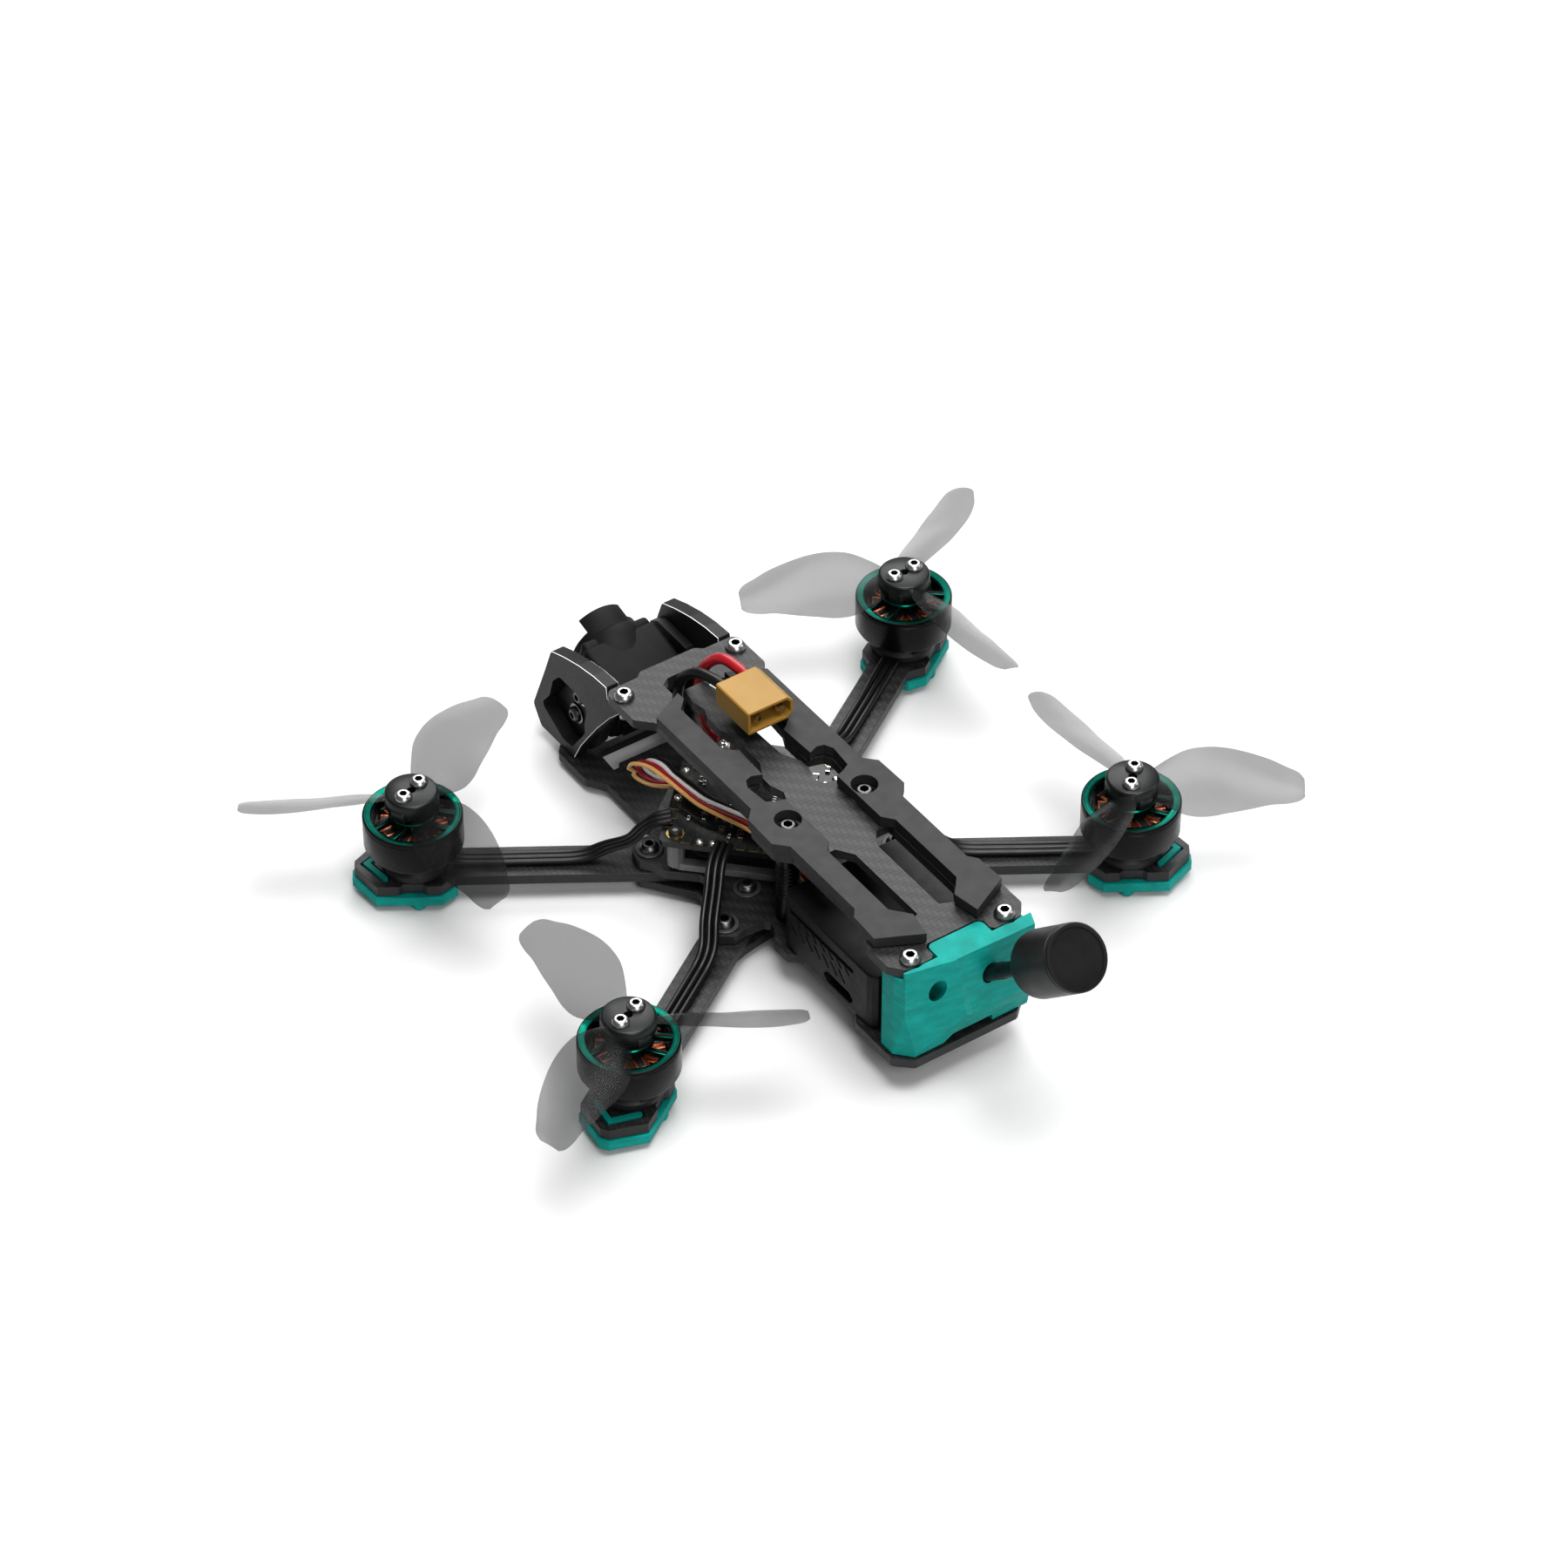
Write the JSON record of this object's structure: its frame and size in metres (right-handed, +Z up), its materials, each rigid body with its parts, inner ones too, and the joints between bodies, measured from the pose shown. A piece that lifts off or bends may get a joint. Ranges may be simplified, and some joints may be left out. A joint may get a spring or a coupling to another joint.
{
  "type": "quadcopter drone",
  "caption": "Small X-frame quadcopter drone: carbon plates and arms, printed landing pads, spinning motors and propellers, tilting nose camera, tail antenna and a battery lead with its plug.",
  "frame": {"origin": "centre of the lower plate's underside, midway between the motor axes", "axes": "+Z up, -Y towards the camera, +X towards the drone's left"},
  "size_m": [0.1701, 0.1538, 0.0483],
  "materials": {
    "carbon": "satin woven carbon fibre laminate",
    "teal_print": "teal printed plastic with fine layer lines",
    "stator": "black coated steel with copper windings",
    "bell": "gloss black anodised with a teal anodised top",
    "propeller": "smoky translucent polycarbonate",
    "silicone": "satin",
    "black_plastic": "fine matte texture",
    "steel": "polished",
    "aluminium": "black anodised",
    "pad_rubber": "fine matte",
    "gold": "gold plated",
    "lens_glass": "coated",
    "grey_plastic": "satin",
    "circuit_board": "black solder mask",
    "amber_nylon": "satin",
    "red_silicone": "satin",
    "harness_silicone": "satin"
  },
  "bodies": {
    "frame": {"air_unit": "black_plastic", "antenna_cap": "black_plastic", "antenna_mount": "teal_print", "antenna_tube": "silicone", "arm_front_left": "carbon", "arm_front_right": "carbon", "arm_rear_left": "carbon", "arm_rear_right": "carbon", "battery_pad_left": "pad_rubber", "battery_pad_right": "pad_rubber", "board_frame": "grey_plastic", "camera_bracket_left": "black_plastic", "camera_bracket_right": "black_plastic", "camera_plate_left": "carbon", "camera_plate_right": "carbon", "deck_screw_front_left": "steel", "deck_screw_front_right": "steel", "deck_screw_middle_left": "steel", "deck_screw_middle_right": "steel", "deck_screw_rear_left": "steel", "deck_screw_rear_right": "steel", "flight_controller": "circuit_board", "foot_front_left": "teal_print", "foot_front_right": "teal_print", "foot_rear_left": "teal_print", "foot_rear_right": "teal_print", "harness": "harness_silicone", "lead_black": "silicone", "lead_red": "red_silicone", "lower_plate": "carbon", "main_plate": "carbon", "motor_base_front_left": "stator", "motor_base_front_right": "stator", "motor_base_rear_left": "stator", "motor_base_rear_right": "stator", "motor_leads_front_left": "silicone", "motor_leads_front_right": "silicone", "motor_leads_rear_left": "silicone", "motor_leads_rear_right": "silicone", "plug_pin_left": "gold", "plug_pin_right": "gold", "plug_shell": "amber_nylon", "spacer_middle_left": "aluminium", "spacer_middle_right": "aluminium", "spacer_rear_left": "aluminium", "spacer_rear_right": "aluminium", "top_plate": "carbon"},
    "rotor_front_left": {"bell_front_left": "bell", "propeller_front_left": "propeller"},
    "rotor_rear_left": {"bell_rear_left": "bell", "propeller_rear_left": "propeller"},
    "rotor_front_right": {"bell_front_right": "bell", "propeller_front_right": "propeller"},
    "rotor_rear_right": {"bell_rear_right": "bell", "propeller_rear_right": "propeller"},
    "camera": {"camera_body": "black_plastic", "camera_lens": "lens_glass", "pivot_screw_left": "steel", "pivot_screw_right": "steel"}
  },
  "joints": [
    {"name": "rotor_front_left_spin", "type": "hinge", "parent": "frame", "child": "rotor_front_left", "pos_m": [0.05665, -0.0368, 0.0137], "axis": [0, 0, 1], "continuous": true},
    {"name": "rotor_rear_left_spin", "type": "hinge", "parent": "frame", "child": "rotor_rear_left", "pos_m": [0.05665, 0.0368, 0.0137], "axis": [0, 0, 1], "continuous": true},
    {"name": "rotor_front_right_spin", "type": "hinge", "parent": "frame", "child": "rotor_front_right", "pos_m": [-0.05665, -0.0368, 0.0137], "axis": [0, 0, 1], "continuous": true},
    {"name": "rotor_rear_right_spin", "type": "hinge", "parent": "frame", "child": "rotor_rear_right", "pos_m": [-0.05665, 0.0368, 0.0137], "axis": [0, 0, 1], "continuous": true},
    {"name": "camera_tilt", "type": "hinge", "parent": "frame", "child": "camera", "pos_m": [0, -0.0502, 0.01], "axis": [1, 0, 0], "range_deg": [-15, 15]}
  ]
}
